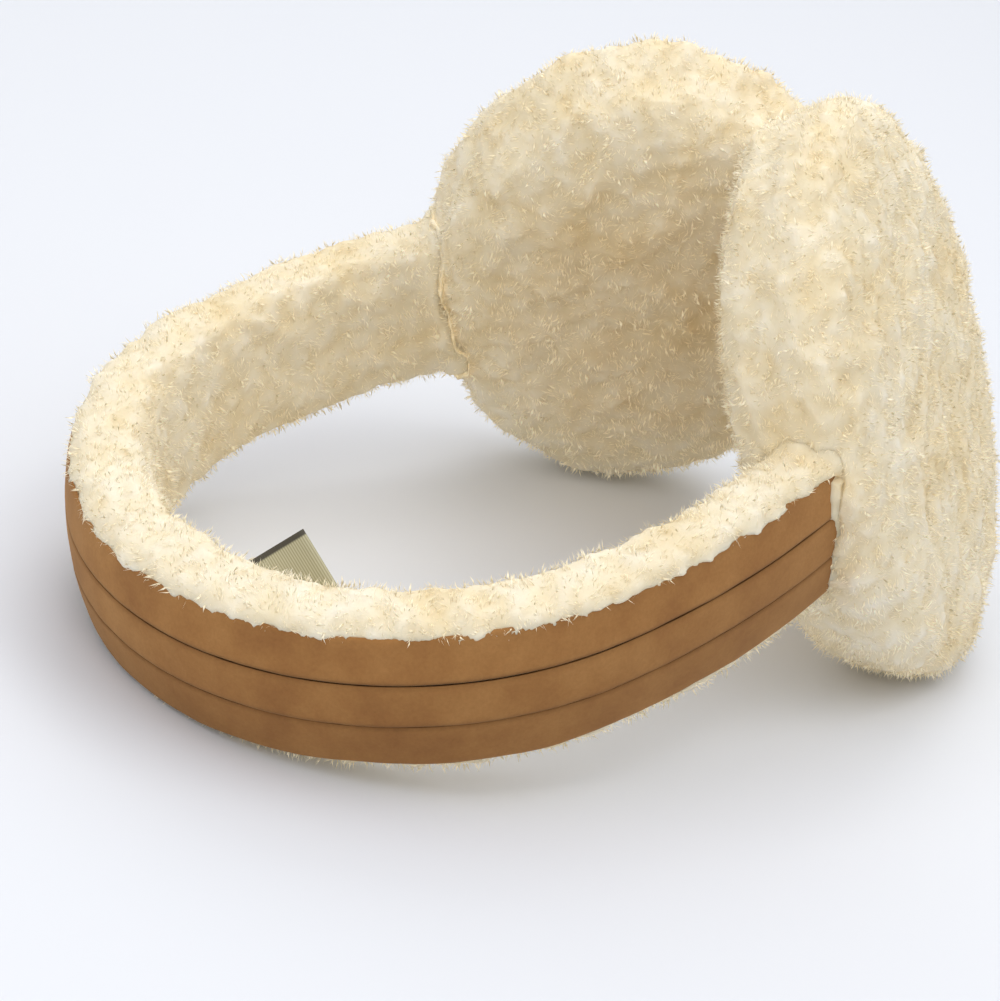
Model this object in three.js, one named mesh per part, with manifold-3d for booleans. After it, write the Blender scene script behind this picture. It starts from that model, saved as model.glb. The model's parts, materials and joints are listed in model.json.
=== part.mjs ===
// Fur earmuffs at rest on a table: a sprung headband of three suede strips over a thick shearling
// lining, an oval shearling pad at each end, and a small woven label on the lining.
// Each pad is a flat inner disc and a domed outer disc of shearling, sewn edge to edge round the
// band's end. The lining and the discs are meshes whose raised points are the tips of wool locks.
// Sizes are in millimetres and +Z is up. The earmuffs lie on their side: the crown of the band and
// the lower rims of both pads touch z = 0, and the origin is below the middle of the whole.
import * as THREE from "three";
import { mergeVertices } from "three/addons/utils/BufferGeometryUtils.js";
import Module from "manifold-3d";

const { degToRad } = THREE.MathUtils;
const wasm = await Module();
wasm.setup();

// Headband: the outside of the suede, seen along the wearer's line of sight
const crownRadius = 57.8;
const crownHalfAngle = degToRad(84.9);
const sideRadius = 144.7;
const sideLength = 40.5;
const tuckLength = 12; // how far the band runs on past its shown end, into the pad

// Suede cover
const suedeWidth = 23.8;
const suedeThickness = 1.6;
const suedeBulge = 1.5; // the middle of the band stands this far proud of its edges
const upperSeamHeight = 4;
const lowerSeamHeight = -3.6;
const seamGap = 0.4;
const edgeRoll = 0.7;
const edgeRollWidth = 1.1;

// Shearling lining
const liningWidth = 28.8;
const liningDepth = 13.6; // from the outside of the suede to the wool's inner face
const liningLipFace = 0.9; // where the wool that spills round the suede's edges stops
const liningSquareness = 3.6;
const liningDepthShares = [
  { share: 0, depth: 1.14 },
  { share: 0.3, depth: 1.06 },
  { share: 0.6, depth: 0.98 },
  { share: 1, depth: 0.95 },
];

// Pads: half lengths across and along the oval, and the depth each side of its widest line
const padHalfWidth = 41;
const padHalfHeight = 53;
const padOuterDepth = 12;
const padInnerDepth = 18.5;
const outerRoundness = 3;
const innerRoundness = 3.4;
const padSeamDepth = 6; // the seam lies this far inward of the widest line
const padSeamGap = 0.4;
const seamDip = 1.8; // how far the rim pulls in at the seam
const seamDipWidth = 3.6;
const padStandOff = 4.8; // from the band's shown end to the pad's rim
const padSideShift = 0.6; // the pad's widest line lies this far outward of the suede
const padLift = 3.1; // how far the pads sit above the band's middle, on average
const pads = [
  { name: "near", side: -1, toeIn: degToRad(32.2), lean: degToRad(16) },
  { name: "far", side: 1, toeIn: degToRad(38.2), lean: degToRad(16) },
];

// Wool locks
const lockSpacing = 4.3;
const padLockHeight = 0.9;
const liningLockHeight = 0.6;
const lockScatter = 0.35; // how far a lock may lie from its place, as a share of the spacing

// Where wool is pressed flat: on the table, and where the two pads meet
const floorPress = 1.2;
const pressGap = 0.5;

// Woven label, folded in two and caught in the lining on the near side
const labelWidth = 15;
const labelLength = 14;
const labelThickness = 1;
const labelTurn = degToRad(18.7); // its root's place, from the crown towards the near pad
const labelRootHeight = 3.3;
const labelRootDepth = 3.8; // how far its root goes into the wool
const labelSwing = degToRad(40); // from straight inward towards the near pad
const labelRise = degToRad(25);
const labelRoll = degToRad(36);
const labelBend = 1.2; // how far its middle bows out of its plane
const labelSteps = 6;

const clearance = 0.3;
const stripStep = 6;

const crownLength = crownRadius * crownHalfAngle;
const shownHalfLength = crownLength + sideLength;
const bandHalfLength = shownHalfLength + tuckLength;

// A point of the band: along is measured from the crown, towards +Y when positive
function bandPoint(along, inward, height) {
  const run = Math.abs(along);
  const side = along < 0 ? -1 : 1;
  if (run <= crownLength) {
    const turn = run / crownRadius;
    const reach = crownRadius - inward;
    return new THREE.Vector3(
      crownRadius - reach * Math.cos(turn),
      side * reach * Math.sin(turn),
      height,
    );
  }
  const turn = crownHalfAngle + (run - crownLength) / sideRadius;
  const reach = sideRadius - inward;
  const offset = sideRadius - crownRadius;
  return new THREE.Vector3(
    crownRadius + offset * Math.cos(crownHalfAngle) - reach * Math.cos(turn),
    side * (reach * Math.sin(turn) - offset * Math.sin(crownHalfAngle)),
    height,
  );
}

// A repeatable number from 0 to 1 for a pair of whole numbers
function scatter(i, j) {
  const wave = Math.sin(i * 127.1 + j * 311.7) * 43758.5453;
  return wave - Math.floor(wave);
}

// How far a lock's tip, or the valley beside it, stands off the wool's mean surface
function lockRise(i, j, height) {
  return height * (2 * scatter(i, j) - 1);
}

function signedPower(value, power) {
  return Math.sign(value) * Math.abs(value) ** power;
}

// Reads a table of rows with share and one other column, with straight lines between the rows
function readTable(rows, share, column) {
  const next = rows.findIndex((row) => row.share >= share);
  if (next <= 0) return rows[next === 0 ? 0 : rows.length - 1][column];
  const [a, b] = [rows[next - 1], rows[next]];
  const mix = (share - a.share) / (b.share - a.share);
  return a[column] + mix * (b[column] - a[column]);
}

// A closed geometry from points and index triples, with its faces turned outwards
function closedGeometry(points, triangles) {
  const volume = triangles.reduce((sum, [a, b, c]) => {
    const normal = new THREE.Vector3().crossVectors(points[b], points[c]);
    return sum + points[a].dot(normal);
  }, 0);
  const facing = volume < 0 ? triangles.map(([a, b, c]) => [a, c, b]) : triangles;
  const geometry = new THREE.BufferGeometry().setFromPoints(points);
  geometry.setIndex(facing.flat());
  return geometry;
}

// Joins rings of equally many points and closes both ends. outline is the flat shape of an end.
function loft(rings, outline) {
  const size = outline.length;
  const triangles = [];
  for (let i = 0; i < rings.length - 1; i++) {
    for (let j = 0; j < size; j++) {
      const a = i * size + j;
      const b = i * size + ((j + 1) % size);
      triangles.push([a, b, a + size], [b, b + size, a + size]);
    }
  }
  const cap = THREE.ShapeUtils.triangulateShape(outline, []);
  const lastRing = (rings.length - 1) * size;
  for (const [a, b, c] of cap) {
    triangles.push([c, b, a], [a + lastRing, b + lastRing, c + lastRing]);
  }
  return closedGeometry(rings.flat(), triangles);
}

// Section points, each { inward, height, wool }, run anticlockwise, as the ends' triangles need
function anticlockwise(section) {
  const outline = section.map((p) => new THREE.Vector2(p.inward, p.height));
  return THREE.ShapeUtils.area(outline) < 0 ? [...section].reverse() : section;
}

function sweepAlongBand(sectionAt, from, to, step) {
  const count = Math.ceil((to - from) / step);
  const rings = [];
  let outline = [];
  for (let i = 0; i <= count; i++) {
    const along = from + ((to - from) * i) / count;
    const section = anticlockwise(sectionAt(along, i));
    outline = section.map((p) => new THREE.Vector2(p.inward, p.height));
    rings.push(section.map((p) => bandPoint(along, p.inward, p.height)));
  }
  return loft(rings, outline);
}

function suedeFace(height) {
  return suedeBulge * (height / (suedeWidth / 2)) ** 2;
}

// One strip of suede between two heights, with both its edges rolled under
function stripSection(low, high) {
  const middle = (low + high) / 2;
  const outside = [
    { height: low, roll: edgeRoll },
    { height: low + edgeRollWidth, roll: 0 },
    { height: middle, roll: 0 },
    { height: high - edgeRollWidth, roll: 0 },
    { height: high, roll: edgeRoll },
  ].map(({ height, roll }) => ({ inward: suedeFace(height) + roll, height }));
  const inside = [high, middle, low].map((height) => ({
    inward: suedeFace(height) + suedeThickness,
    height,
  }));
  return [...outside, ...inside];
}

// The lining: a back that follows the suede, lips that spill round its edges, and the wool
function liningSection(along, station) {
  const share = Math.abs(along) / bandHalfLength;
  const depth = liningDepth * readTable(liningDepthShares, share, "depth");
  const centre = (liningLipFace + depth) / 2;
  const halfDepth = (depth - liningLipFace) / 2;
  const halfHeight = liningWidth / 2;
  const backEdge = suedeWidth / 2 + clearance;
  const lipAngle = Math.PI - Math.asin((backEdge / halfHeight) ** (liningSquareness / 2));
  const woolCount = 16;
  const power = 2 / liningSquareness;
  const wool = [];
  for (let k = 0; k <= woolCount; k++) {
    const angle = lipAngle * ((2 * k) / woolCount - 1);
    const inward = centre + halfDepth * signedPower(Math.cos(angle), power);
    const height = halfHeight * signedPower(Math.sin(angle), power);
    const outward = new THREE.Vector2((inward - centre) / halfDepth, height / halfHeight);
    outward.normalize();
    const atLip = k === 0 || k === woolCount;
    const rise = atLip ? 0 : lockRise(station, k, liningLockHeight);
    wool.push({ inward: inward + outward.x * rise, height: height + outward.y * rise });
  }
  const back = [1, 0.5, 0, -0.5, -1].map((part) => ({
    inward: suedeFace(part * backEdge) + suedeThickness + clearance,
    height: part * backEdge,
  }));
  return [...wool, ...back];
}

// The rim's reach, as a share of the oval, at a depth outward (+) or inward (-) of its widest line
function padReach(depth) {
  const side = depth < 0 ? padInnerDepth : padOuterDepth;
  const roundness = depth < 0 ? innerRoundness : outerRoundness;
  const full = Math.max(0, 1 - (Math.abs(depth) / side) ** roundness) ** (1 / roundness);
  const dip = (seamDip / padHalfHeight) * Math.exp(-(((depth + padSeamDepth) / seamDipWidth) ** 2));
  return full - dip * full;
}

// Rings of a pad's profile a lock's spacing apart, from the middle of a face to the seam
function padProfile(faceDepth, seamDepth) {
  const fine = [];
  const fineSteps = 400;
  const meanHalf = (padHalfWidth + padHalfHeight) / 2;
  for (let k = 0; k <= fineSteps; k++) {
    const depth = faceDepth + (seamDepth - faceDepth) * (k / fineSteps) ** 3;
    const here = { depth, reach: padReach(depth), length: 0 };
    const last = fine[k - 1];
    if (last) {
      const step = Math.hypot(depth - last.depth, (here.reach - last.reach) * meanHalf);
      here.length = last.length + step;
    }
    fine.push(here);
  }
  const total = fine[fineSteps].length;
  const count = Math.round(total / lockSpacing);
  return Array.from({ length: count + 1 }, (_, k) =>
    fine.find((row) => row.length >= (total * k) / count - 1e-6),
  );
}

// One shearling disc of a pad in the pad's own frame: X away from the band, +Y outwards when
// side is 1 and -Y when it is -1, Z along the oval's long axis
function padDisc(faceDepth, seamDepth, side) {
  const rows = padProfile(faceDepth, seamDepth);
  const meanHalf = (padHalfWidth + padHalfHeight) / 2;
  const points = [];
  const rings = rows.map((row, i) => {
    const before = rows[Math.max(0, i - 1)];
    const after = rows[Math.min(rows.length - 1, i + 1)];
    const slope = new THREE.Vector2(
      (after.reach - before.reach) * meanHalf,
      after.depth - before.depth,
    ).normalize();
    const outward = faceDepth > seamDepth ? 1 : -1;
    const reachOut = outward * -slope.y;
    const depthOut = outward * slope.x;
    const round = 2 * Math.PI * meanHalf * row.reach;
    const count = i === 0 ? 1 : Math.max(6, Math.round(round / lockSpacing));
    const start = points.length;
    const angles = [];
    for (let j = 0; j < count; j++) {
      const stray = lockScatter * (scatter(j, i) - 0.5) + (i % 2) / 2;
      const angle = (2 * Math.PI * (j + stray)) / count;
      const atSeam = i === rows.length - 1;
      const rise = atSeam ? 0 : lockRise(i, j, padLockHeight);
      const push = i === 0 ? 0 : reachOut * rise;
      points.push(
        new THREE.Vector3(
          (padHalfWidth * row.reach + push) * Math.cos(angle),
          side * (row.depth + (i === 0 ? outward : depthOut) * rise),
          (padHalfHeight * row.reach + push) * Math.sin(angle),
        ),
      );
      angles.push(angle);
    }
    return { start, count, angles };
  });
  const triangles = [];
  for (let i = 0; i < rings.length - 1; i++) {
    triangles.push(...zipRings(rings[i], rings[i + 1]));
  }
  const seam = rings[rings.length - 1];
  const middle = points.push(new THREE.Vector3(0, side * seamDepth, 0)) - 1;
  for (let j = 0; j < seam.count; j++) {
    triangles.push([seam.start + ((j + 1) % seam.count), seam.start + j, middle]);
  }
  return closedGeometry(points, triangles);
}

// Triangles between two rings with unlike numbers of points, taking the nearer point in turn
function zipRings(inner, outer) {
  const triangles = [];
  if (inner.count === 1) {
    for (let j = 0; j < outer.count; j++) {
      triangles.push([inner.start, outer.start + j, outer.start + ((j + 1) % outer.count)]);
    }
    return triangles;
  }
  const angleOf = (ring, k) => ring.angles[k % ring.count] + 2 * Math.PI * Math.floor(k / ring.count);
  let a = 0;
  let b = 0;
  while (a < inner.count || b < outer.count) {
    const takeInner =
      a < inner.count && (b >= outer.count || angleOf(inner, a + 1) < angleOf(outer, b + 1));
    const fromInner = inner.start + (a % inner.count);
    const fromOuter = outer.start + (b % outer.count);
    if (takeInner) {
      triangles.push([fromInner, fromOuter, inner.start + ((a + 1) % inner.count)]);
      a++;
    } else {
      triangles.push([fromInner, fromOuter, outer.start + ((b + 1) % outer.count)]);
      b++;
    }
  }
  return triangles;
}

// The label: a folded ribbon, flat in X (its length) and Z (its width), slightly bowed towards Y
function labelGeometry(extra) {
  const halfWidth = labelWidth / 2 + extra;
  const halfThickness = labelThickness / 2 + extra;
  const rings = [];
  for (let k = 0; k <= labelSteps; k++) {
    const share = k / labelSteps;
    const reach = labelLength * share + (k === labelSteps ? extra : 0);
    const bow = labelBend * Math.sin(Math.PI * share);
    rings.push(
      [
        [-halfThickness, -halfWidth],
        [halfThickness, -halfWidth],
        [halfThickness, halfWidth],
        [-halfThickness, halfWidth],
      ].map(([y, z]) => new THREE.Vector3(reach, bow + y, z)),
    );
  }
  return loft(rings, rings[0].map((p) => new THREE.Vector2(p.y, p.z)));
}

// Roots the label in the lining, and turns its length inward, then aside, up and over
function placeLabel(mesh) {
  const radius = crownRadius - labelInnerFace() + labelRootDepth;
  mesh.position.set(
    crownRadius - radius * Math.cos(labelTurn),
    -radius * Math.sin(labelTurn),
    labelRootHeight,
  );
  mesh.rotation.set(-labelRoll, -labelRise, labelTurn - labelSwing, "ZYX");
}

function labelInnerFace() {
  const share = (crownRadius * labelTurn) / bandHalfLength;
  return liningDepth * readTable(liningDepthShares, share, "depth");
}

function toSolid(geometry) {
  const bare = new THREE.BufferGeometry().setAttribute("position", geometry.getAttribute("position"));
  bare.setIndex(geometry.index);
  const merged = mergeVertices(bare, 1e-4);
  return new wasm.Manifold(
    new wasm.Mesh({
      numProp: 3,
      vertProperties: new Float32Array(merged.attributes.position.array),
      triVerts: new Uint32Array(merged.index.array),
    }),
  );
}

function toGeometry(solid) {
  const { vertProperties, triVerts } = solid.getMesh();
  const geometry = new THREE.BufferGeometry();
  geometry.setAttribute("position", new THREE.BufferAttribute(new Float32Array(vertProperties), 3));
  geometry.setIndex(new THREE.BufferAttribute(new Uint32Array(triVerts), 1));
  return geometry;
}

// Cuts one mesh by the shape of another mesh, wherever both of them are placed
function cutBy(mesh, cutter) {
  const between = mesh.matrixWorld.clone().invert().multiply(cutter.matrixWorld);
  const tool = toSolid(cutter.geometry.clone().applyMatrix4(between));
  mesh.geometry = toGeometry(toSolid(mesh.geometry).subtract(tool));
}

function makeMaterial(color, roughness) {
  return new THREE.MeshStandardMaterial({ color, roughness, metalness: 0, flatShading: true });
}

const suede = makeMaterial(0xa9743f, 0.9);
const shearling = makeMaterial(0xefe3c8, 1);
const wovenTape = makeMaterial(0xb9b48c, 0.6);

function addMesh(name, geometry, material, parent) {
  const mesh = new THREE.Mesh(geometry, material);
  mesh.name = name;
  parent.add(mesh);
  return mesh;
}

// The matrix that takes a mesh's points into the frame of another object
function matrixInto(frame, mesh) {
  return frame.matrixWorld.clone().invert().multiply(mesh.matrixWorld);
}

function boxIn(frame, meshes) {
  const box = new THREE.Box3();
  for (const mesh of meshes) {
    const placed = mesh.geometry.clone().applyMatrix4(matrixInto(frame, mesh));
    placed.computeBoundingBox();
    box.union(placed.boundingBox);
  }
  return box;
}

// Calls change with each vertex of a mesh in the frame of another object
function editVertices(frame, mesh, change) {
  const into = matrixInto(frame, mesh);
  mesh.geometry.applyMatrix4(into);
  const position = mesh.geometry.getAttribute("position");
  const vertex = new THREE.Vector3();
  for (let i = 0; i < position.count; i++) {
    change(vertex.fromBufferAttribute(position, i));
    position.setXYZ(i, vertex.x, vertex.y, vertex.z);
  }
  mesh.geometry.applyMatrix4(into.invert());
}

const earmuffs = new THREE.Group();
const onTable = new THREE.Group(); // tilts the loop so that its crown and pads touch the table
earmuffs.add(onTable);

// Headband
const suedeEdge = suedeWidth / 2;
const strips = [
  { name: "band_suede_upper", low: upperSeamHeight + seamGap / 2, high: suedeEdge },
  {
    name: "band_suede_middle",
    low: lowerSeamHeight + seamGap / 2,
    high: upperSeamHeight - seamGap / 2,
  },
  { name: "band_suede_lower", low: -suedeEdge, high: lowerSeamHeight - seamGap / 2 },
];
for (const { name, low, high } of strips) {
  const section = stripSection(low, high);
  const strip = sweepAlongBand(() => section, -bandHalfLength, bandHalfLength, stripStep);
  addMesh(name, strip, suede, onTable);
}
const lining = addMesh(
  "band_shearling_lining",
  sweepAlongBand(liningSection, -bandHalfLength, bandHalfLength, lockSpacing),
  shearling,
  onTable,
);

// Label
const label = addMesh("woven_label", labelGeometry(0), wovenTape, onTable);
placeLabel(label);

// Pads
for (const pad of pads) {
  const end = bandPoint(pad.side * shownHalfLength, 0, 0);
  const away = new THREE.Vector3(Math.cos(pad.toeIn), -pad.side * Math.sin(pad.toeIn), 0);
  const outward = new THREE.Vector3(Math.sin(pad.toeIn), pad.side * Math.cos(pad.toeIn), 0);
  pad.group = new THREE.Group();
  pad.group.position
    .copy(end)
    .addScaledVector(away, padHalfWidth + padStandOff)
    .addScaledVector(outward, padSideShift);
  pad.group.rotation.z = -pad.side * pad.toeIn;
  const leaning = new THREE.Group();
  leaning.rotation.x = pad.side * pad.lean;
  pad.group.add(leaning);
  onTable.add(pad.group);
  const innerSeam = -padSeamDepth - padSeamGap / 2;
  const outerSeam = -padSeamDepth + padSeamGap / 2;
  pad.discs = [
    addMesh(
      `${pad.name}_pad_inner_disc`,
      padDisc(-padInnerDepth, innerSeam, pad.side),
      shearling,
      leaning,
    ),
    addMesh(
      `${pad.name}_pad_outer_disc`,
      padDisc(padOuterDepth, outerSeam, pad.side),
      shearling,
      leaning,
    ),
  ];
}

// Seats both pads on the table at a given tilt, and returns their mean height above the band
function seatPads(tilt) {
  onTable.rotation.y = -tilt;
  pads.forEach((pad) => (pad.group.position.z = 0));
  earmuffs.updateMatrixWorld(true);
  const crownLow = boxIn(earmuffs, [lining]).min.z;
  for (const pad of pads) {
    const padLow = boxIn(earmuffs, pad.discs).min.z;
    pad.group.position.z = (crownLow - padLow) / Math.cos(tilt);
  }
  return pads.reduce((sum, pad) => sum + pad.group.position.z, 0) / pads.length;
}

let lowTilt = 0;
let highTilt = degToRad(45);
const tiltSteps = 24;
for (let i = 0; i < tiltSteps; i++) {
  const tilt = (lowTilt + highTilt) / 2;
  if (seatPads(tilt) > padLift) lowTilt = tilt;
  else highTilt = tilt;
}
earmuffs.updateMatrixWorld(true);

// Wool pressed flat where the pads meet and where the earmuffs lie on the table
const [nearPad, farPad] = pads;
const meeting =
  (boxIn(onTable, nearPad.discs).max.y + boxIn(onTable, farPad.discs).min.y) / 2;
for (const pad of pads) {
  for (const disc of pad.discs) {
    editVertices(onTable, disc, (vertex) => {
      const room = pad.side * (vertex.y - meeting);
      if (room < pressGap / 2) vertex.y = meeting + (pad.side * pressGap) / 2;
    });
  }
}
const tableHeight = boxIn(earmuffs, [lining]).min.z + floorPress;
const woolly = [lining, ...pads.flatMap((pad) => pad.discs)];
for (const mesh of woolly) {
  editVertices(earmuffs, mesh, (vertex) => {
    vertex.z = Math.max(vertex.z, tableHeight);
  });
}

// Pockets in the discs for the band's ends, and in the lining for the label's root
for (const pad of pads) {
  const room = clearance + liningLockHeight;
  const from = shownHalfLength - tuckLength;
  const to = bandHalfLength + clearance;
  const section = envelopeSection(room);
  const ends = [from, to].map((along) => pad.side * along).sort((a, b) => a - b);
  const geometry = sweepAlongBand(() => section, ends[0], ends[1], stripStep);
  const tool = addMesh("tool", geometry, suede, onTable);
  tool.updateMatrixWorld(true);
  pad.discs.forEach((disc) => cutBy(disc, tool));
  onTable.remove(tool);
}
const labelTool = addMesh("tool", labelGeometry(clearance), wovenTape, onTable);
placeLabel(labelTool);
labelTool.updateMatrixWorld(true);
cutBy(lining, labelTool);
onTable.remove(labelTool);

// A rounded outline round the whole band, with room for the locks and a gap
function envelopeSection(room) {
  const depth = liningDepth * liningDepthShares.at(-1).depth + room;
  const centre = (depth - clearance) / 2;
  const halfDepth = (depth + clearance) / 2;
  const halfHeight = liningWidth / 2 + room;
  const corners = 20;
  const power = 2 / (liningSquareness + 1);
  return Array.from({ length: corners }, (_, k) => {
    const angle = (2 * Math.PI * (k + 0.5)) / corners;
    return {
      inward: centre + halfDepth * signedPower(Math.cos(angle), power),
      height: halfHeight * signedPower(Math.sin(angle), power),
    };
  });
}

// Puts the origin on the table below the middle of the whole
const whole = new THREE.Box3().setFromObject(earmuffs, true);
onTable.position.set(
  -(whole.min.x + whole.max.x) / 2,
  -(whole.min.y + whole.max.y) / 2,
  -whole.min.z,
);
earmuffs.updateMatrixWorld(true);

export default earmuffs;
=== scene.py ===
# Shearling earmuffs lying on a table: a suede headband lined in thick wool, with an oval wool pad
# at each end. Sizes are in mm unless a note says otherwise.
import json
import math

import bpy
import numpy as np
from mathutils import Matrix, Vector
from mathutils.bvhtree import BVHTree
from mathutils.kdtree import KDTree

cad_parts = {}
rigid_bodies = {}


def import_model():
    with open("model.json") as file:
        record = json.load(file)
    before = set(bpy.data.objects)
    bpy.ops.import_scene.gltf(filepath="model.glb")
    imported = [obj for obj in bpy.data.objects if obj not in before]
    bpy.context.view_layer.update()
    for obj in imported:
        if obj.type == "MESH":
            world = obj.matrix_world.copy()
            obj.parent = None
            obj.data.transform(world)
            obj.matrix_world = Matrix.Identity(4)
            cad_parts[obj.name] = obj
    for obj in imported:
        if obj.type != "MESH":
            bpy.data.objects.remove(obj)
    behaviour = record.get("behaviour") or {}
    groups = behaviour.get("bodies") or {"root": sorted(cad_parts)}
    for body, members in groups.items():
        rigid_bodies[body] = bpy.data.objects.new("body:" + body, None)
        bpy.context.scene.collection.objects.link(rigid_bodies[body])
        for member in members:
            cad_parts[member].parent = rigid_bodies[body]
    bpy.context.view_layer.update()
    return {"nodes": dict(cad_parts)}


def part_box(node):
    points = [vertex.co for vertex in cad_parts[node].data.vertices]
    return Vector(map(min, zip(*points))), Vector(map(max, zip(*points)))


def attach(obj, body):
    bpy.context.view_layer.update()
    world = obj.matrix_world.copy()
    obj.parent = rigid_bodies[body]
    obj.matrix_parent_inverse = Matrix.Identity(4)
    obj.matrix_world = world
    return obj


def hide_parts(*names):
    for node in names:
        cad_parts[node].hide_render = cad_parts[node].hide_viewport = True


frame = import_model()
print("frame loaded:", len(frame["nodes"]), "solids")

mm = 0.001


# sRGB hex to linear
def hexColor(code):
    channels = [int(code[i : i + 2], 16) / 255 for i in (1, 3, 5)]
    linear = [c / 12.92 if c <= 0.04045 else ((c + 0.055) / 1.055) ** 2.4 for c in channels]
    return (*linear, 1.0)


def deselectAll():
    for other in bpy.context.view_layer.objects:
        other.select_set(False)


def makeActive(piece):
    deselectAll()
    piece.select_set(True)
    bpy.context.view_layer.objects.active = piece


def applyModifier(piece, kind, **settings):
    makeActive(piece)
    modifier = piece.modifiers.new(kind.lower(), kind)
    for name, value in settings.items():
        setattr(modifier, name, value)
    bpy.ops.object.modifier_apply(modifier=modifier.name)


# one node with its settings, colour stops and links
def addNode(material, kind, settings=None, links=None):
    node = material.node_tree.nodes.new(kind)
    for name, value in (settings or {}).items():
        if name == "stops":
            ramp = node.color_ramp
            while len(ramp.elements) < len(value):
                ramp.elements.new(0.5)
            for element, (place, code) in zip(ramp.elements, value):
                element.position = place
                element.color = hexColor(code)
        elif isinstance(name, str) and hasattr(node, name):
            setattr(node, name, value)
        else:
            node.inputs[name].default_value = value
    for name, socket in (links or {}).items():
        material.node_tree.links.new(socket, node.inputs[name])
    return node


def newMaterial(name):
    material = bpy.data.materials.new(name)
    material.use_nodes = True
    material.node_tree.nodes.clear()
    return material


def finishMaterial(material, settings, links):
    shader = addNode(material, "ShaderNodeBsdfPrincipled", settings, links)
    addNode(material, "ShaderNodeOutputMaterial", None, {"Surface": shader.outputs["BSDF"]})
    return material


def readArray(items, field, width, kind=float):
    values = np.empty(len(items) * width, dtype=kind)
    items.foreach_get(field, values)
    return values.reshape(-1, width)


def moveVertices(mesh, points):
    mesh.vertices.foreach_set("co", points.reshape(-1))
    mesh.update()


# 0 up to start, then an even rise to 1 over the length
def rampUp(values, start, length):
    return np.clip((values - start) / length, 0, 1)


def placePiece(piece, nodes, material):
    piece.data.materials.clear()
    piece.data.materials.append(material)
    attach(piece, "root")
    if nodes:
        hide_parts(*nodes)


# camera, as fitted to the photograph's outlines
cameraFit = {
    "place": (-315.41, -314.30, 224.73),
    "heading": 45.818,  # degrees, from +X towards +Y
    "down": 24.828,
    "roll": 11.363,
    "lens": 103.2,
    "sensor": 36,
    "nearest": 10,
}


def addCamera(fit):
    heading, down, roll = (math.radians(fit[key]) for key in ("heading", "down", "roll"))
    ahead = Vector(
        (math.cos(down) * math.cos(heading), math.cos(down) * math.sin(heading), -math.sin(down))
    )
    right = ahead.cross(Vector((0, 0, 1))).normalized()
    above = right.cross(ahead)
    turnedRight = right * math.cos(roll) + above * math.sin(roll)
    turnedAbove = above * math.cos(roll) - right * math.sin(roll)
    bpy.ops.object.camera_add(location=Vector(fit["place"]) * mm)
    camera = bpy.context.object
    camera.name = "photoCamera"
    turn = Matrix((turnedRight, turnedAbove, -ahead)).transposed()
    camera.rotation_euler = turn.to_euler()
    camera.data.lens = fit["lens"]
    camera.data.sensor_width = fit["sensor"]
    camera.data.clip_start = fit["nearest"] * mm
    bpy.context.scene.camera = camera


addCamera(cameraFit)
print("camera placed")


# the band's line, as in the CAD: an arc round the crown that runs on in two flatter ones
band = {
    "crownRadius": 57.8,
    "crownHalfAngle": math.radians(84.9),
    "sideRadius": 144.7,
    "sideLength": 40.5,
    "tuck": 12,  # how far it runs on into the pads
    "tilt": math.radians(14.993),
    "crownPlace": (-83.11, 1.02, 11.61),  # outside of the suede at the crown, band's middle
    "suedeWidth": 23.8,
    "bulge": 1.5,
    "curveSteps": 280,
}
shownHalf = band["crownRadius"] * band["crownHalfAngle"] + band["sideLength"]
bandHalf = shownHalf + band["tuck"]
loopMatrix = (
    Matrix.Translation(Vector(band["crownPlace"]) * mm)
    @ Matrix.Rotation(-band["tilt"], 4, "Y")
)


# a point of the line, along it from the crown towards the far pad
def bandLine(along):
    run = abs(along)
    side = -1 if along < 0 else 1
    crownLength = band["crownRadius"] * band["crownHalfAngle"]
    if run <= crownLength:
        turn = run / band["crownRadius"]
        x = band["crownRadius"] * (1 - math.cos(turn))
        y = band["crownRadius"] * math.sin(turn)
    else:
        turn = band["crownHalfAngle"] + (run - crownLength) / band["sideRadius"]
        offset = band["sideRadius"] - band["crownRadius"]
        x = (
            band["crownRadius"]
            + offset * math.cos(band["crownHalfAngle"])
            - band["sideRadius"] * math.cos(turn)
        )
        y = band["sideRadius"] * math.sin(turn) - offset * math.sin(band["crownHalfAngle"])
    return Vector((x, side * y, 0)) * mm


def addBandCurve():
    count = band["curveSteps"]
    data = bpy.data.curves.new("bandCurve", "CURVE")
    data.dimensions = "2D"
    spline = data.splines.new("POLY")
    spline.points.add(count)
    for i in range(count + 1):
        point = bandLine(bandHalf * (2 * i / count - 1))
        spline.points[i].co = (*point, 1)
    curve = bpy.data.objects.new("bandCurve", data)
    bpy.context.collection.objects.link(curve)
    return curve


bandCurve = addBandCurve()


# X runs along the band from its near end, Y outwards, Z across
def bendAlongBand(piece):
    applyModifier(piece, "CURVE", object=bandCurve, deform_axis="POS_X")
    piece.data.transform(loopMatrix)
    piece.data.update()


# wool
# the darker root colours are painted shade deep in the wool
woolColors = {
    "outer": {"root": "#E4D2AA", "middle": "#F0E4C8", "tip": "#F6EFDF"},
    # darker and tanner: painted shade on the face that lies against the ear
    "inner": {"root": "#C9A972", "middle": "#DCC08F", "tip": "#EEDCB6"},
    "patch": "#F5E9CD",
    # painted glow on the loose wisps, standing in for the light they pass on to each other
    "glow": "#FBEBC6",
}
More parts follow.
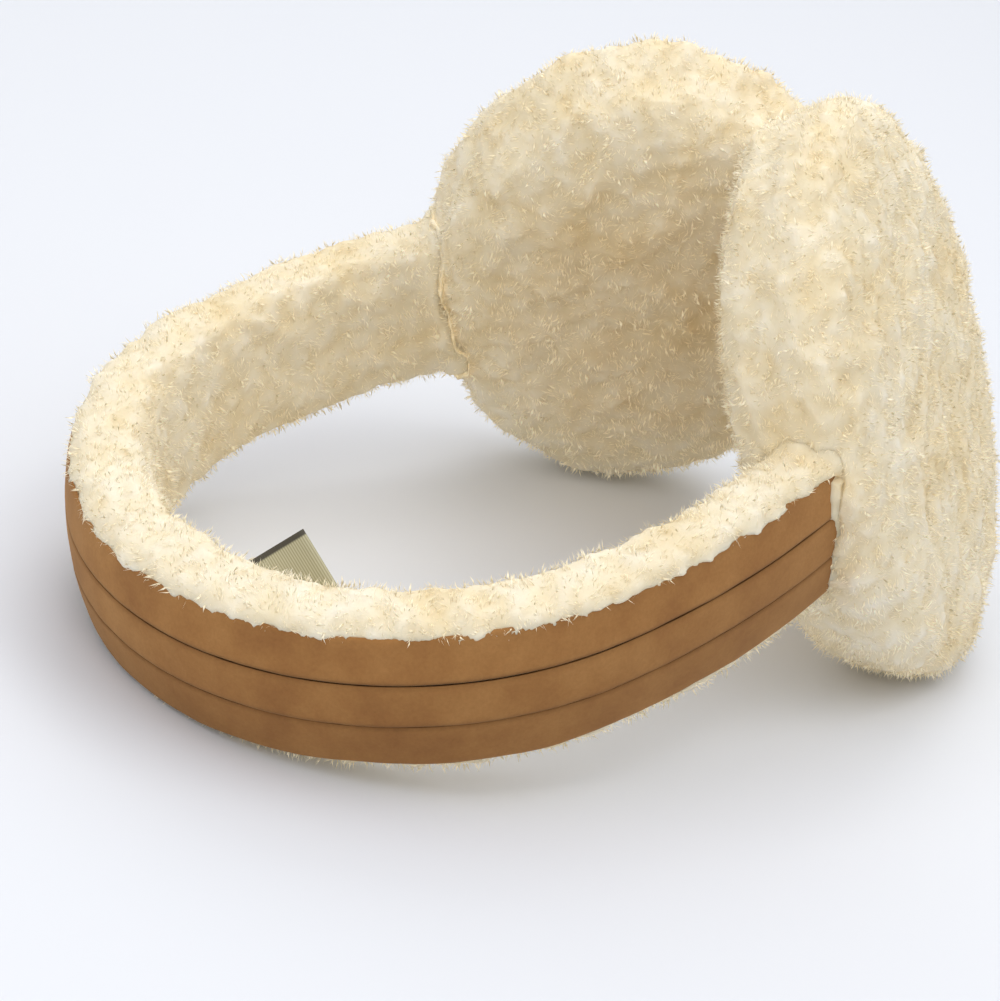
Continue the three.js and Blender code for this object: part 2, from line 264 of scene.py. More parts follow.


# sheepskin wool, sheared, washed and left curly: soft and matt, creamier in patches; darker and
# warmer down between the locks and at the roots, which is painted shade, and tanner on the face
# against the ear, also painted shade; light spreads inside its mass, and the single wisps have a
# faint painted glow in place of the light that they would pass on to each other
def makeWoolMaterial(name, colors, spread, glow):
    material = newMaterial(name)
    share = addNode(material, "ShaderNodeAttribute", {"attribute_name": "woolShare"})
    tone = addNode(material, "ShaderNodeAttribute", {"attribute_name": "lockTone"})
    ear = addNode(material, "ShaderNodeAttribute", {"attribute_name": "earShare"})
    outer, inner = (
        addNode(
            material,
            "ShaderNodeValToRGB",
            {"stops": [(0.0, side["root"]), (0.5, side["middle"]), (1.0, side["tip"])]},
            {"Fac": share.outputs["Fac"]},
        )
        for side in (colors["outer"], colors["inner"])
    )
    # the ear's side takes the darker inner colours: painted shade
    mixed = addNode(
        material,
        "ShaderNodeMix",
        {"data_type": "RGBA"},
        {0: ear.outputs["Fac"], 6: outer.outputs["Color"], 7: inner.outputs["Color"]},
    )
    place = addNode(material, "ShaderNodeTexCoord")
    patches = addNode(
        material,
        "ShaderNodeTexNoise",
        {"Scale": 1 / (18 * mm), "Detail": 2.0},  # patches of creamier wool, about 18 mm
        {"Vector": place.outputs["Object"]},
    )
    patchShare = addNode(
        material,
        "ShaderNodeMapRange",
        {"From Min": 0.4, "From Max": 0.7, "To Min": 0.0, "To Max": 0.6},
        {"Value": patches.outputs["Fac"]},
    )
    patched = addNode(
        material,
        "ShaderNodeMix",
        {"data_type": "RGBA", "blend_type": "MULTIPLY", 7: hexColor(colors["patch"])},
        {0: patchShare.outputs["Result"], 6: mixed.outputs[2]},
    )
    toneShare = addNode(
        material,
        "ShaderNodeMapRange",
        {"From Min": 0.0, "From Max": 1.0, "To Min": 0.95, "To Max": 1.02},
        {"Value": tone.outputs["Fac"]},
    )
    toned = addNode(
        material,
        "ShaderNodeVectorMath",
        {"operation": "SCALE"},
        {0: patched.outputs[2], 3: toneShare.outputs["Result"]},
    )
    crimp = addNode(
        material,
        "ShaderNodeTexNoise",
        {"Scale": 1 / (0.7 * mm), "Detail": 3.0, "Roughness": 0.65},  # crimp of the fibres, 0.7 mm
        {"Vector": place.outputs["Object"]},
    )
    bump = addNode(
        material,
        "ShaderNodeBump",
        {"Strength": 0.5 if spread else 0.0, "Distance": 0.2 * mm},
        {"Height": crimp.outputs["Fac"]},
    )
    return finishMaterial(
        material,
        {
            "subsurface_method": "BURLEY",
            "Roughness": 1.0,
            "Specular IOR Level": 0.1,
            "Subsurface Weight": spread,
            "Subsurface Radius": (1.0, 0.8, 0.6),
            "Subsurface Scale": 2.4 * mm,
            "Emission Color": hexColor(colors["glow"]),
            "Emission Strength": glow,
        },
        {"Base Color": toned.outputs["Vector"], "Normal": bump.outputs["Normal"]},
    )


fleeceMaterial = makeWoolMaterial("curlyFleece", woolColors, 0.8, 0.0)
# the loose wisps get a faint painted glow
fibreMaterial = makeWoolMaterial("looseWoolFibre", woolColors, 0.0, 0.22)

# the pads' places, as in the CAD
pads = {
    "halfWidth": 41,
    "standOff": 4.8,  # from the end of the band that shows to a pad's rim
    "sideShift": 0.6,
    "seamDepth": 6,
    # from where the ear's side begins, the wool takes the darker inner colours: painted shade
    "earStart": 7,  # the ear's side of the wool begins this far inside the seam
    "earBlend": 8,  # and takes over completely within this much more
    "near": {"side": -1, "toeIn": math.radians(32.2), "lean": math.radians(16), "lift": 2.79},
    "far": {"side": 1, "toeIn": math.radians(38.2), "lean": math.radians(16), "lift": 3.41},
}
woolSkin = {
    "merge": 0.01,  # corners closer than this become one
    "closeReach": 3.5,  # gaps to a neighbour that are narrower than this are closed
    "press": 0.4,  # and the wool reaches this far into it
    "pressedSmoothing": 5,
    "curledSmoothing": 2,
    # sunk curls sit lower on the colour ramp, towards the darker roots: painted shade in the hollows
    "flatShare": 0.62,  # place on the colour ramp where the curls are neither raised nor sunk
    "riseShare": 0.6,  # how much it changes for each mm of rise
    "shareRange": (0.1, 0.9),
    "floorGap": 0.05,
    "curls": [
        {"kind": "CLOUDS", "size": 5.0, "height": 1.0, "middle": 0.5},
        {"kind": "VORONOI", "size": 3.0, "height": -0.8, "middle": 0.4},
        {"kind": "CLOUDS", "size": 1.5, "height": 0.55, "middle": 0.5},
    ],
}
# the lining's swollen lips: each pair is where a ramp starts and its length, as height past the
# suede's cut edge or as depth outward of the band's line
lips = {
    "out": 1.6,
    "droop": 1.3,
    "lowerOut": 0.2,  # the lower lip swells by this share of the upper one, and doesn't droop
    "swellHeight": (-0.4, 0.5),
    "swellDepth": (-8, 5),
    "droopDepth": (-5, 2),
    "droopTop": 2.4,  # above this the wool doesn't droop
    "droopFade": 2,
}
# nap lies along the skin and covers it, fuzz stands out of it; lean is in degrees
wispKinds = {
    "nap": {"halfWidth": (0.012, 0.022), "length": (0.8, 1.8), "lean": (50, 78)},
    "fuzz": {"halfWidth": (0.01, 0.018), "length": (0.6, 1.9), "lean": (5, 50)},
}
# bows are shares of a wisp's length, and leans are in degrees
lockLook = {
    "spacing": 2.8,
    "spare": 1.7,  # places drawn for each wisp that is wanted
    "napShare": 0.35,  # share of the wisps that are nap
    "gather": 0.25,  # share of the way to its lock's centre that a tip is drawn in
    "leanScatter": 10,
    "mostLean": 84,
    "sideScatter": 0.45,
    "rootDepth": 0.08,
    "belly": 0.45,  # where a wisp is widest
    "bow": 0.02,
    "bowScatter": 0.1,
    # the darker root step is painted shade at the wisps' roots
    "endShares": (-0.25, 0.3, 0.1, 0.1),  # colour steps from the skin at root, tip and belly
    "lookAhead": 1.3,  # how far a wisp looks for a neighbour
    "neighbourGap": 0.1,
    "leastFree": 0.3,  # a wisp with less room than this is left out
}
# no wisps grow where the suede lies on the lining: inside its edges, facing out, near the line
suedeCover = {"edgeMargin": 0.3, "facing": 0.1, "depth": -4}
# depth is how far below the wool's outer form its skin lies
woolPieces = [
    {"name": "band_lining", "nodes": ["band_shearling_lining"], "voxel": 0.66, "smoothing": 8,
     "depth": 0.1, "wisps": 32000, "seed": 11},
    {"name": "near_pad", "nodes": ["near_pad_outer_disc", "near_pad_inner_disc"], "voxel": 0.6,
     "smoothing": 26, "depth": 0.7, "wisps": 42000, "seed": 23},
    {"name": "far_pad", "nodes": ["far_pad_outer_disc", "far_pad_inner_disc"], "voxel": 0.6,
     "smoothing": 26, "depth": 1.9, "wisps": 42000, "seed": 41},
]


def unit(vectors):
    return vectors / np.maximum(np.linalg.norm(vectors, axis=1), 1e-12)[:, None]


def nodeTree(name):
    mesh = frame["nodes"][name].data
    mesh.calc_loop_triangles()
    corners = readArray(mesh.vertices, "co", 3)
    triangles = readArray(mesh.loop_triangles, "vertices", 3, int)
    return BVHTree.FromPolygons(corners.tolist(), triangles.tolist())


nodeTrees = {name: nodeTree(name) for name in frame["nodes"]}


def setPointAttribute(mesh, name, values):
    attribute = mesh.attributes.new(name, "FLOAT", "POINT")
    attribute.data.foreach_set("value", np.asarray(values, dtype=np.float32))


def freshTexture(name, kind, size):
    texture = bpy.data.textures.new(name, kind)
    texture.noise_scale = size * mm
    return texture


# how far each point is out from the band's line, how high it is, and the way out there
def bandSpot(points):
    toLoop = np.array(loopMatrix.inverted())
    local = points @ toLoop[:3, :3].T + toLoop[:3, 3]
    side = np.where(local[:, 1] < 0, -1.0, 1.0)
    half = band["crownHalfAngle"]
    crown, offset = band["crownRadius"] * mm, (band["sideRadius"] - band["crownRadius"]) * mm
    turn = np.arctan2(np.abs(local[:, 1]), crown - local[:, 0])
    onCrown = turn <= half
    centreX = np.where(onCrown, crown, crown + offset * math.cos(half))
    centreY = np.where(onCrown, 0.0, -side * offset * math.sin(half))
    ray = np.stack([local[:, 0] - centreX, local[:, 1] - centreY, 0 * centreX], axis=1)
    out = np.linalg.norm(ray, axis=1) - np.where(onCrown, crown, crown + offset)
    return out / mm, local[:, 2] / mm, unit(ray) @ np.array(loopMatrix.to_3x3()).T


# wool swells until it meets what it presses on
def closeGaps(skin, family):
    points = readArray(skin.data.vertices, "co", 3)
    out = readArray(skin.data.vertex_normals, "vector", 3)
    room = np.full(len(points), 1.0)
    for name, tree in nodeTrees.items():
        if name.startswith(family) or name == "woven_label":
            continue
        low, high = (np.array(corner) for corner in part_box(name))
        reach = woolSkin["closeReach"] * mm
        near = np.all((points > low - reach) & (points < high + reach), axis=1)
        for i in np.flatnonzero(near):
            hit = tree.ray_cast(Vector(points[i]), Vector(out[i]), reach)
            if hit[3] is not None:
                room[i] = min(room[i], hit[3])
    grow = np.where(room < 1, room + woolSkin["press"] * mm, 0)
    moveVertices(skin.data, points + grow[:, None] * out)


# the lining's upper lip swells out and droops over the suede's cut edge
def swellLips(skin):
    points = readArray(skin.data.vertices, "co", 3)
    out, height, outward = bandSpot(points)
    edge = band["suedeWidth"] / 2
    lip = rampUp(np.abs(height) - edge, *lips["swellHeight"]) * rampUp(out, *lips["swellDepth"])
    belowTop = rampUp(edge + lips["droopTop"] - np.abs(height), 0, lips["droopFade"])
    droop = lip * rampUp(out, *lips["droopDepth"]) * belowTop
    lip *= np.where(height > 0, 1, lips["lowerOut"])
    droop *= height > 0
    points += (lips["out"] * lip)[:, None] * mm * outward
    points -= (lips["droop"] * droop)[:, None] * mm * np.array(loopMatrix.to_3x3())[:, 2]
    moveVertices(skin.data, points)


# a point on the seam between a pad's two discs, and the way out from the head there
def seamPlane(pad):
    side = pad["side"]
    end = bandLine(side * shownHalf)
    away = Vector((math.cos(pad["toeIn"]), -side * math.sin(pad["toeIn"]), 0))
    outward = Vector((math.sin(pad["toeIn"]), side * math.cos(pad["toeIn"]), 0))
    middle = end + away * (pads["halfWidth"] + pads["standOff"]) * mm
    middle += outward * pads["sideShift"] * mm
    middle.z = pad["lift"] * mm
    toeIn = Matrix.Rotation(-side * pad["toeIn"], 3, "Z")
    turn = toeIn @ Matrix.Rotation(side * pad["lean"], 3, "X")
    across = turn @ Vector((0, side, 0))
    place = loopMatrix @ (middle - across * pads["seamDepth"] * mm)
    return place, loopMatrix.to_3x3() @ across


# from 0 on a pad's outside and rim to 1 on the face that lies against the ear: how much of the
# darker inner colours, painted shade, the wool takes there
def earShare(points, name):
    pad = pads.get(name.split("_")[0])
    if not pad:
        return np.zeros(len(points))
    place, across = seamPlane(pad)
    depth = (points - np.array(place)) @ -np.array(across) / mm
    share = rampUp(depth, pads["earStart"], pads["earBlend"])
    return share * share * (3 - 2 * share)


# the solids joined, remeshed, smoothed, drawn in to the wool's roots, closed up to their
# neighbours and curled
def makeSkin(spec):
    name = spec["name"]
    copies = []
    for node in spec["nodes"]:
        copy = bpy.data.objects.new(name, frame["nodes"][node].data.copy())
        bpy.context.collection.objects.link(copy)
        copies.append(copy)
    skin = copies[0]
    makeActive(skin)
    for copy in copies[1:]:
        copy.select_set(True)
    if len(copies) > 1:
        bpy.ops.object.join()
    skin.name = name + "_wool"
    bpy.ops.object.mode_set(mode="EDIT")
    bpy.ops.mesh.select_all(action="SELECT")
    bpy.ops.mesh.remove_doubles(threshold=woolSkin["merge"] * mm)
    bpy.ops.object.mode_set(mode="OBJECT")
    applyModifier(skin, "REMESH", mode="VOXEL", voxel_size=spec["voxel"] * mm)
    applyModifier(skin, "SMOOTH", factor=0.5, iterations=spec["smoothing"])
    applyModifier(skin, "DISPLACE", strength=-spec["depth"] * mm, mid_level=0.0)
    if name.startswith("band"):
        swellLips(skin)
    closeGaps(skin, name.split("_")[0])
    applyModifier(skin, "SMOOTH", factor=0.5, iterations=woolSkin["pressedSmoothing"])
    plain = readArray(skin.data.vertices, "co", 3)
    out = readArray(skin.data.vertex_normals, "vector", 3)
    for curl in woolSkin["curls"]:
        applyModifier(
            skin,
            "DISPLACE",
            texture=freshTexture(name + "Curls", curl["kind"], curl["size"]),
            texture_coords="LOCAL",
            strength=curl["height"] * mm,
            mid_level=curl["middle"],
        )
    applyModifier(skin, "SMOOTH", factor=0.5, iterations=woolSkin["curledSmoothing"])
    curled = readArray(skin.data.vertices, "co", 3)
    curled[:, 2] = np.maximum(curled[:, 2], woolSkin["floorGap"] * mm)
    moveVertices(skin.data, curled)
    # sunk curls take the darker root colours and raised ones the lighter tips: painted shade in the
    # hollows
    rise = ((curled - plain) * out).sum(axis=1) / mm
    share = woolSkin["flatShare"] + woolSkin["riseShare"] * rise
    setPointAttribute(skin.data, "woolShare", np.clip(share, *woolSkin["shareRange"]))
    setPointAttribute(skin.data, "lockTone", np.full(len(curled), 0.5))
    setPointAttribute(skin.data, "earShare", earShare(curled, name))
    makeActive(skin)
    bpy.ops.object.shade_smooth()
    return skin


# random places on a skin, evenly by area: points, smooth normals, shares and the whole area
def samplePoints(mesh, count, chance):
    mesh.calc_loop_triangles()
    corners = readArray(mesh.vertices, "co", 3)
    normals = readArray(mesh.vertex_normals, "vector", 3)
    shares = readArray(mesh.attributes["woolShare"].data, "value", 1)
    triangles = readArray(mesh.loop_triangles, "vertices", 3, int)
    a, b, c = (corners[triangles[:, k]] for k in range(3))
    areas = np.linalg.norm(np.cross(b - a, c - a), axis=1) / 2
    chosen = chance.choice(len(triangles), size=count, p=areas / areas.sum())
    u, v = chance.random((2, count))
    over = u + v > 1
    u[over], v[over] = 1 - u[over], 1 - v[over]
    weights = np.stack([1 - u - v, u, v], axis=1)[:, :, None]
    picked = triangles[chosen]
    points = (corners[picked] * weights).sum(axis=1)
    directions = unit((normals[picked] * weights).sum(axis=1))
    return points, directions, (shares[picked] * weights).sum(axis=1)[:, 0], areas.sum()


# how much of each wisp, from 0 to 1, is free of the piece's neighbours
def freeShare(name, roots, tips):
    family = name.split("_")[0]
    free = np.ones(len(roots))
    reach = np.linalg.norm(tips - roots, axis=1)
    for node, tree in nodeTrees.items():
        if node.startswith(family) or node == "woven_label":
            continue
        low, high = (np.array(corner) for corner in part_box(node))
        near = np.all((tips > low - mm) & (tips < high + mm), axis=1)
        for i in np.flatnonzero(near):
            sight = lockLook["lookAhead"] * reach[i]
            hit = tree.ray_cast(Vector(roots[i]), Vector(tips[i] - roots[i]), sight)
            if hit[3] is not None:
                free[i] = min(free[i], (hit[3] - lockLook["neighbourGap"] * mm) / reach[i])
    return free


# wisps of wool: each has a root, a tip and a belly of two points, and is closed
def wispMesh(name, wisps, tones):
    roots, tips, bellies, halfWidths, normals, shares = wisps
    count = len(roots)
    sides = unit(np.cross(normals, tips - roots))
    spread = sides * halfWidths[:, None]
    vertices = np.stack([roots, tips, bellies + spread, bellies - spread], axis=1)
    vertices[:, :, 2] = np.maximum(vertices[:, :, 2], woolSkin["floorGap"] * mm)
    shape = np.array([(0, 3, 2), (1, 2, 3), (0, 2, 1), (0, 1, 3)])
    triangles = (shape[None] + 4 * np.arange(count)[:, None, None]).reshape(-1, 3)
    mesh = bpy.data.meshes.new(name)
    mesh.vertices.add(count * 4)
    mesh.vertices.foreach_set("co", vertices.reshape(-1))
    mesh.loops.add(len(triangles) * 3)
    mesh.loops.foreach_set("vertex_index", triangles.reshape(-1))
    mesh.polygons.add(len(triangles))
    mesh.polygons.foreach_set("loop_start", 3 * np.arange(len(triangles)))
    mesh.update(calc_edges=True)
    mesh.shade_smooth()
    # darker at the root: painted shade
    wispShares = np.clip(shares[:, None] + np.array(lockLook["endShares"]), 0, 1)
    setPointAttribute(mesh, "woolShare", wispShares.reshape(-1))
    setPointAttribute(mesh, "lockTone", np.repeat(tones, 4))
    setPointAttribute(mesh, "earShare", np.repeat(earShare(roots, name), 4))
    wool = bpy.data.objects.new(name, mesh)
    bpy.context.collection.objects.link(wool)
    return wool


def growWool(spec):
    chance = np.random.default_rng(spec["seed"])
    skin = makeSkin(spec)
    drawn = int(spec["wisps"] * lockLook["spare"])
    points, normals, shares, area = samplePoints(skin.data, drawn, chance)
    if spec["name"].startswith("band"):
        out, height, outward = bandSpot(points)
        behind = np.abs(height) < band["suedeWidth"] / 2 - suedeCover["edgeMargin"]
        behind &= (normals * outward).sum(axis=1) > suedeCover["facing"]
        behind &= out > suedeCover["depth"]
        kept = np.flatnonzero(~behind)
    else:
        kept = np.arange(len(points))

    # locks: wisps near one centre lean the same way and close up towards its tip
    centres = chance.choice(kept, size=int(area / (lockLook["spacing"] * mm) ** 2), replace=False)
    tree = KDTree(len(centres))
    for i, k in enumerate(centres):
        tree.insert(Vector(points[k]), i)
    tree.balance()
    lock = np.array([tree.find(Vector(point))[1] for point in points])
    lockWay = unit(chance.normal(size=(len(centres), 3)))[lock]
    lockLean = chance.random(len(centres))[lock]
    tones = chance.random(len(centres))[lock]
    across = unit(lockWay - (lockWay * normals).sum(axis=1)[:, None] * normals)
    aside = np.cross(normals, across)
    gather = lockLook["gather"] * (points[centres][lock] - points)
    gather -= (gather * normals).sum(axis=1)[:, None] * normals

    count = len(points)
    isNap = chance.random(count) < lockLook["napShare"]
    length, halfWidth, lean = (np.empty(count) for _ in range(3))
    for kind, chosen in (("nap", isNap), ("fuzz", ~isNap)):
        look = wispKinds[kind]
        many = int(chosen.sum())
        length[chosen] = chance.uniform(*look["length"], many) * mm
        halfWidth[chosen] = chance.uniform(*look["halfWidth"], many) * mm
        low, high = look["lean"]
        scatter = chance.normal(0, lockLook["leanScatter"], many)
        lean[chosen] = low + (high - low) * lockLean[chosen] + scatter
    lean = np.radians(np.clip(lean, 0, lockLook["mostLean"]))
    sideLean = chance.normal(0, lockLook["sideScatter"], count)
    way = unit(
        normals * np.cos(lean)[:, None]
        + across * np.sin(lean)[:, None]
        + aside * sideLean[:, None]
    )
    roots = points - lockLook["rootDepth"] * mm * normals
    tips = points + length[:, None] * way + gather
    ahead = unit(tips - roots)
    above = unit(normals - (normals * ahead).sum(axis=1)[:, None] * ahead)
    bellies = (1 - lockLook["belly"]) * roots + lockLook["belly"] * tips
    bellies += (lockLook["bow"] * length)[:, None] * above
    sideBow = chance.normal(0, lockLook["bowScatter"], count)
    bellies += sideBow[:, None] * length[:, None] * np.cross(ahead, above)
    free = freeShare(spec["name"], points, tips)
    kept = kept[free[kept] > lockLook["leastFree"]][: spec["wisps"]]
    shrink = np.clip(free, 0, 1)[:, None]
    tips = points + (tips - points) * shrink
    bellies = points + (bellies - points) * shrink
    wisps = [values[kept] for values in (roots, tips, bellies, halfWidth, normals, shares)]
    nap = wispMesh(spec["name"] + "_nap", wisps, tones[kept])

    placePiece(skin, spec["nodes"], fleeceMaterial)
    placePiece(nap, [], fibreMaterial)
    faces = readArray(skin.data.polygons, "loop_total", 1, int)
    print(spec["name"], "skin", int((faces - 2).sum()), "triangles, nap", 4 * len(kept), "triangles")


for spec in woolPieces:
    growWool(spec)


# suede cover
suedeLook = {
    "light": "#AA7B48",
    "middle": "#9E6F3F",
    "dark": "#906237",
    # this colour also lays painted shade over the middle and lower strips
    "seam": "#4E311B",
    "patchSize": 11.0,
    "napSize": 0.6,
}


# sheepskin suede, drum dyed chestnut and brushed: matt, faintly mottled where the nap lies another
# way, darker in the seams, and darker again over the middle and lower strips, which is painted shade
def makeSuedeMaterial(look):
    material = newMaterial("brushedChestnutSuede")
    place = addNode(material, "ShaderNodeTexCoord")
    seam = addNode(material, "ShaderNodeAttribute", {"attribute_name": "seamShade"})
    patches = addNode(
        material,
        "ShaderNodeTexNoise",
        {"Scale": 1 / (look["patchSize"] * mm), "Detail": 5.0, "Roughness": 0.6},
        {"Vector": place.outputs["Object"]},
    )
    ramp = addNode(
        material,
        "ShaderNodeValToRGB",
        {"stops": [(0.3, look["dark"]), (0.5, look["middle"]), (0.72, look["light"])]},
        {"Fac": patches.outputs["Fac"]},
    )
    nap = addNode(
        material,
        "ShaderNodeTexNoise",
        {"Scale": 1 / (look["napSize"] * mm), "Detail": 3.0, "Roughness": 0.7},
        {"Vector": place.outputs["Object"]},
    )
    napTone = addNode(
        material,
        "ShaderNodeMapRange",
        {"From Min": 0.3, "From Max": 0.7, "To Min": 0.92, "To Max": 1.07},
        {"Value": nap.outputs["Fac"]},
    )
    napped = addNode(
        material,
        "ShaderNodeVectorMath",
        {"operation": "SCALE"},
        {0: ramp.outputs["Color"], 3: napTone.outputs["Result"]},
    )
    # the seam colour darkens the seams and, as painted shade, the middle and lower strips
    shaded = addNode(
        material,
        "ShaderNodeMix",
        {"data_type": "RGBA", 7: hexColor(look["seam"])},
        {0: seam.outputs["Fac"], 6: napped.outputs["Vector"]},
    )
    bump = addNode(
        material,
        "ShaderNodeBump",
        {"Strength": 0.3, "Distance": 0.12 * mm},
        {"Height": nap.outputs["Fac"]},
    )
    return finishMaterial(
        material,
        {
            "Roughness": 0.95,
            "Specular IOR Level": 0.2,
            "Sheen Weight": 0.3,
            "Sheen Roughness": 0.5,
            "Sheen Tint": hexColor("#E3BE8F"),
        },
        {"Base Color": shaded.outputs[2], "Normal": bump.outputs["Normal"]},
    )


suedeMaterial = makeSuedeMaterial(suedeLook)
cutEdge = band["suedeWidth"] / 2
# rolls are how far an edge turns in towards the lining, and shades are shares of the seam's colour;
# each strip's own shade is painted shade, more on the lower strips
suedeStrips = {
    "thickness": 1.5,
    "rollWidth": 0.55,
    "cutWobble": 0.22,  # how far the cut edges wander
    "wobbleWaves": ((0.6, 7.3, 1), (0.4, 3.1, 2.1)),  # each one's share, length and phases
    "topPhase": 4.2,
    "bottomPhase": 1.3,
    "pucker": 0.22,
    "puckerSize": 6,
    "cuts": (240, 14),
    "strips": [
        {"name": "suede_strip_upper", "node": "band_suede_upper", "low": 4.02, "high": cutEdge,
         "lowRoll": 0.45, "highRoll": 0.35, "lowShade": 0.75, "highShade": 0, "shade": 0.0},
        {"name": "suede_strip_middle", "node": "band_suede_middle", "low": -3.59, "high": 3.98,
         "lowRoll": 0.2, "highRoll": 0.2, "lowShade": 0.35, "highShade": 0.25, "shade": 0.06},
        {"name": "suede_strip_lower", "node": "band_suede_lower", "low": -cutEdge, "high": -3.61,
         "lowRoll": 0.35, "highRoll": 0.2, "lowShade": 0, "highShade": 0.35, "shade": 0.14},
    ],
}


def wander(along, phase, sizes):
    waves = (
        share * np.sin(along / length + phases * phase)
        for share, length, phases in sizes["wobbleWaves"]
    )
    return sizes["cutWobble"] * sum(waves)


def makeStrip(strip, sizes):
    bpy.ops.mesh.primitive_grid_add(
        x_subdivisions=sizes["cuts"][0], y_subdivisions=sizes["cuts"][1], size=1
    )
    piece = bpy.context.object
    piece.name = strip["name"]
    mesh = piece.data
    mesh.uv_layers[0].name = "stripMap"
    flat = readArray(mesh.vertices, "co", 3)
    along = (flat[:, 0] + 0.5) * 2 * bandHalf
    share = flat[:, 1] + 0.5
    share = 0.5 - 0.5 * np.cos(np.pi * share)  # closer cuts towards the edges
    low, high = strip["low"], strip["high"]
    if low == -cutEdge:
        low = low + wander(along, sizes["bottomPhase"], sizes)
    if high == cutEdge:
        high = high + wander(along, sizes["topPhase"], sizes)
    height = low + (high - low) * share
    fromLow, fromHigh = height - low, high - height
    roll = strip["lowRoll"] * np.clip(1 - fromLow / sizes["rollWidth"], 0, 1) ** 2
    roll += strip["highRoll"] * np.clip(1 - fromHigh / sizes["rollWidth"], 0, 1) ** 2
    # painted shade over the whole strip, more on the lower ones, and darker at the seam edges
    shade = strip["shade"] + strip["lowShade"] * np.exp(-((fromLow / sizes["rollWidth"]) ** 2))
    shade += strip["highShade"] * np.exp(-((fromHigh / sizes["rollWidth"]) ** 2))
    setPointAttribute(mesh, "seamShade", shade)
    face = band["bulge"] * (height / cutEdge) ** 2
    moveVertices(mesh, np.stack([along, -(face + roll), height], axis=1) * mm)
    applyModifier(piece, "SOLIDIFY", thickness=sizes["thickness"] * mm, offset=1.0)
    bendAlongBand(piece)
    makeActive(piece)
    bpy.ops.object.mode_set(mode="EDIT")
    bpy.ops.mesh.select_all(action="SELECT")
    bpy.ops.mesh.normals_make_consistent(inside=False)
    bpy.ops.object.mode_set(mode="OBJECT")
    applyModifier(
        piece,
        "DISPLACE",
        texture=freshTexture(strip["name"] + "Pucker", "CLOUDS", sizes["puckerSize"]),
        texture_coords="LOCAL",
        strength=sizes["pucker"] * mm,
        mid_level=0.5,
    )
    makeActive(piece)
    bpy.ops.object.shade_smooth()
    placePiece(piece, [strip["node"]], suedeMaterial)


for strip in suedeStrips["strips"]:
    makeStrip(strip, suedeStrips)
print("suede cover sewn")


# label
labelSizes = {
    "width": 15,
    "length": 14,  # folded in two
    "gap": 0.5,
    "thickness": 0.25,
    "cuts": (48, 16),
    "turn": math.radians(18.7),  # its root's place, from the crown towards the near pad
    "rootDepth": 3.8,  # how far its root goes into the wool
    "liningDepth": 15.2,  # from the outside of the suede to the wool's face at the root
    "rootHeight": 3.3,
    "swing": math.radians(40),
    "rise": math.radians(25),
    "roll": math.radians(36),
    "bend": 1.2,
    "sharpAngle": math.radians(40),
}


# satin-woven polyester ribbon, olive grey, with a dark selvedge along its upper edge
def makeLabelMaterial():
    material = newMaterial("wovenSatinRibbon")
    uv = addNode(material, "ShaderNodeUVMap", {"uv_map": "ribbonMap"})
    apart = addNode(material, "ShaderNodeSeparateXYZ", None, {"Vector": uv.outputs["UV"]})
    threads = addNode(
        material,
        "ShaderNodeTexWave",
        {"wave_type": "BANDS", "bands_direction": "X", "Scale": 22.0, "Distortion": 0.4},
        {"Vector": uv.outputs["UV"]},
    )
    tone = addNode(
        material,
        "ShaderNodeValToRGB",
        {"stops": [(0.0, "#A39C7C"), (1.0, "#C6C0A2")]},
        {"Fac": threads.outputs["Fac"]},
    )
    edgeShare = addNode(
        material,
        "ShaderNodeMapRange",
        {"From Min": 0.93, "From Max": 0.95, "To Min": 0.0, "To Max": 1.0},
        {"Value": apart.outputs["Y"]},
    )
    striped = addNode(
        material,
        "ShaderNodeMix",
        {"data_type": "RGBA", 7: hexColor("#4B463B")},
        {0: edgeShare.outputs["Result"], 6: tone.outputs["Color"]},
    )
    bump = addNode(
        material,
        "ShaderNodeBump",
        {"Strength": 0.3, "Distance": 0.08 * mm},
        {"Height": threads.outputs["Fac"]},
    )
    return finishMaterial(
        material,
        {"Roughness": 0.5, "Specular IOR Level": 0.4, "Sheen Weight": 0.15},
        {"Base Color": striped.outputs[2], "Normal": bump.outputs["Normal"]},
    )


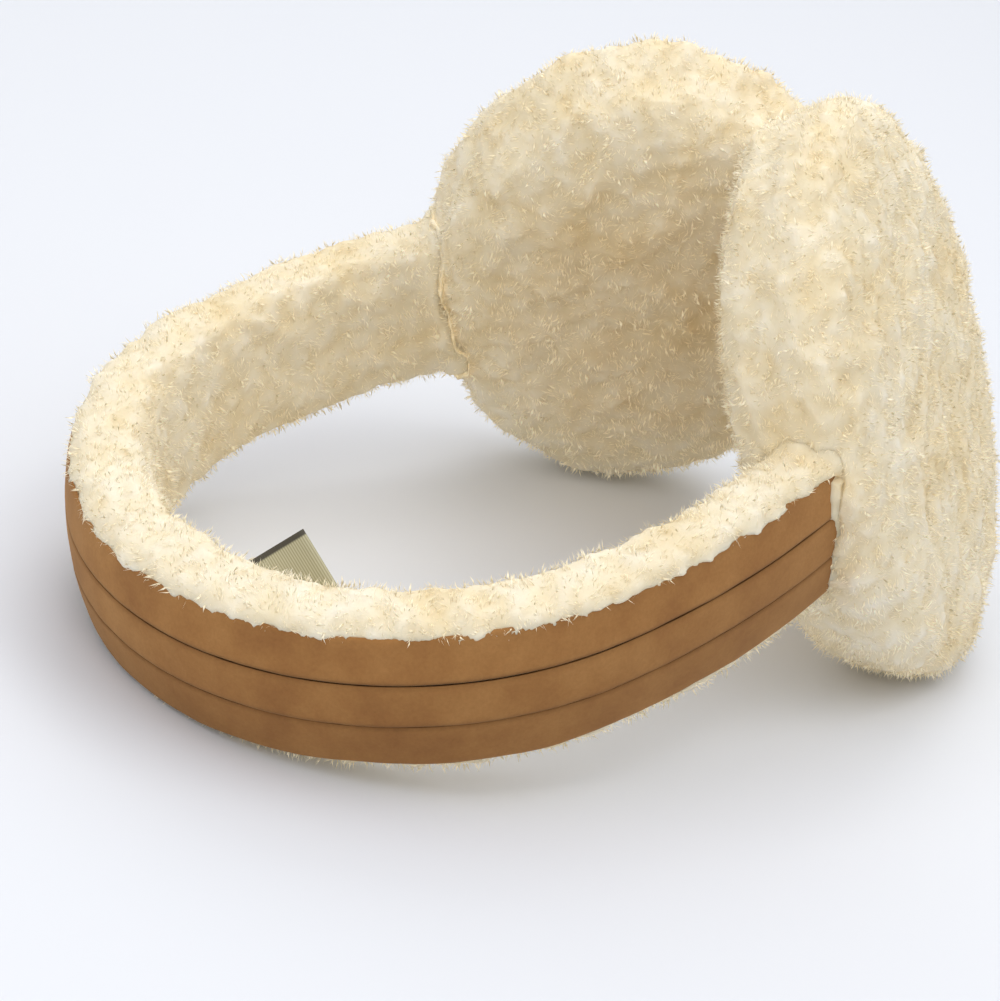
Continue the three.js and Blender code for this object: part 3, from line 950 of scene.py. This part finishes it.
def makeLabel(sizes):
    bpy.ops.mesh.primitive_grid_add(
        x_subdivisions=sizes["cuts"][0], y_subdivisions=sizes["cuts"][1], size=1
    )
    piece = bpy.context.object
    piece.name = "folded_label"
    mesh = piece.data
    mesh.uv_layers[0].name = "ribbonMap"
    flat = readArray(mesh.vertices, "co", 3)
    run = (flat[:, 0] + 0.5) * 2 * sizes["length"] - sizes["length"]  # 0 at the fold
    height = flat[:, 1] * sizes["width"]
    radius = sizes["gap"] / 2
    curved = math.pi / 2 * radius
    turn = np.clip(run / radius, -math.pi / 2, math.pi / 2)
    past = np.maximum(np.abs(run) - curved, 0)
    reach = sizes["length"] - radius + radius * np.cos(turn) - past
    side = radius * np.sin(turn)
    bow = sizes["bend"] * np.sin(np.pi * np.clip(reach / sizes["length"], 0, 1))
    moveVertices(mesh, np.stack([reach, bow + side, height], axis=1) * mm)
    applyModifier(piece, "SOLIDIFY", thickness=sizes["thickness"] * mm, offset=0.0)
    rootRadius = band["crownRadius"] - sizes["liningDepth"] + sizes["rootDepth"]
    root = Vector(
        (
            band["crownRadius"] - rootRadius * math.cos(sizes["turn"]),
            -rootRadius * math.sin(sizes["turn"]),
            sizes["rootHeight"],
        )
    )
    place = (
        Matrix.Translation(root * mm)
        @ Matrix.Rotation(sizes["turn"] - sizes["swing"], 4, "Z")
        @ Matrix.Rotation(-sizes["rise"], 4, "Y")
        @ Matrix.Rotation(-sizes["roll"], 4, "X")
    )
    mesh.transform(loopMatrix @ place)
    makeActive(piece)
    bpy.ops.object.shade_smooth_by_angle(angle=sizes["sharpAngle"])
    placePiece(piece, ["woven_label"], makeLabelMaterial())


makeLabel(labelSizes)
bpy.data.objects.remove(bandCurve)
print("label folded")


# floor and light, in metres
studio = {
    "floor": "#E3E5EA",
    "floorSize": 6,
    "worldColor": "#F4F7FC",
    "worldStrength": 0.334,
    "aim": (0, 0, 0.04),
    "lights": [
        {"name": "overheadSoftbox", "place": (0, 0, 0.95), "size": 1.0, "watts": 4.6},
        {"name": "leftSoftbox", "place": (-0.9, 0.1, 0.6), "size": 0.8, "watts": 2.4},
        {"name": "rightSoftbox", "place": (0.35, -0.6, 0.9), "size": 0.8, "watts": 2.7},
        {"name": "frontSoftbox", "place": (-0.6, -0.6, 0.8), "size": 0.8, "watts": 2.6},
        {"name": "backSoftbox", "place": (0.6, 0.6, 0.8), "size": 0.8, "watts": 3.8},
    ],
}


def addFloor(code, size):
    bpy.ops.mesh.primitive_plane_add(size=size, location=(0, 0, 0))
    floor = bpy.context.object
    floor.name = "tableTop"
    material = newMaterial("matteLaminate")
    finishMaterial(
        material,
        {"Base Color": hexColor(code), "Roughness": 0.85, "Specular IOR Level": 0.2},
        {},
    )
    floor.data.materials.append(material)


def addLight(light, aim):
    bpy.ops.object.light_add(type="AREA", location=light["place"])
    lamp = bpy.context.object
    lamp.name = light["name"]
    lamp.data.size = light["size"]
    lamp.data.energy = light["watts"]
    lamp.rotation_euler = (Vector(aim) - lamp.location).to_track_quat("-Z", "Y").to_euler()


addFloor(studio["floor"], studio["floorSize"])
for light in studio["lights"]:
    addLight(light, studio["aim"])
world = bpy.data.worlds.new("softStudio")
world.use_nodes = True
backdrop = world.node_tree.nodes["Background"]
backdrop.inputs["Color"].default_value = hexColor(studio["worldColor"])
backdrop.inputs["Strength"].default_value = studio["worldStrength"]
bpy.context.scene.world = world
bpy.context.scene.view_settings.view_transform = "Standard"
print("floor and lights set")
